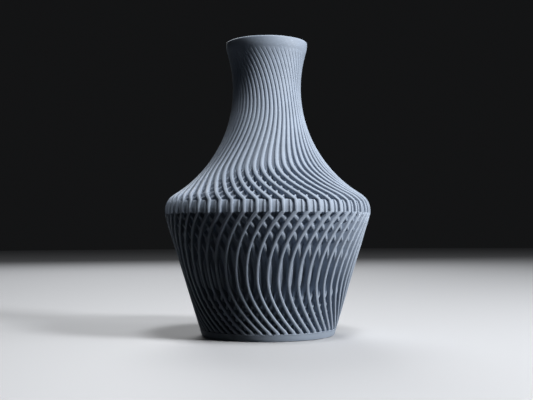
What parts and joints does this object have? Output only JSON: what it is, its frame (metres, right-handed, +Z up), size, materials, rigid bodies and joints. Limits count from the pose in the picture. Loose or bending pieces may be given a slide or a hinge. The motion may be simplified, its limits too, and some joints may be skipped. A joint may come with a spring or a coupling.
{
  "type": "vase",
  "caption": "Tall ribbed vase with a conical body, a narrow bulging band, a long flared neck, two crossing layers of twisted ribs and a smooth rounded lip.",
  "frame": {"origin": "centre of the foot's underside, on the surface that the vase stands on", "axes": "+Z up along the vase's axis, -Y towards the viewer, +X to the viewer's right"},
  "size_m": [0.1546, 0.1548, 0.22],
  "materials": {
    "printed_plastic_smooth": "matte, fine printed layers",
    "printed_plastic_wall": "matte, fine printed layers",
    "printed_plastic_inner_ribs": "matte, fine printed layers",
    "printed_plastic_outer_ribs": "matte, fine printed layers"
  },
  "bodies": {
    "root": {"foot_ring": "printed_plastic_smooth", "base_plate": "printed_plastic_wall", "body_wall": "printed_plastic_wall", "band_wall": "printed_plastic_wall", "shoulder_wall": "printed_plastic_wall", "neck_wall": "printed_plastic_wall", "band_ring": "printed_plastic_wall", "collar": "printed_plastic_smooth", "lower_inner_ribs": "printed_plastic_inner_ribs", "lower_outer_ribs": "printed_plastic_outer_ribs", "band_inner_ribs": "printed_plastic_inner_ribs", "band_outer_ribs": "printed_plastic_outer_ribs", "upper_inner_ribs": "printed_plastic_inner_ribs", "upper_outer_ribs": "printed_plastic_outer_ribs"}
  },
  "joints": []
}
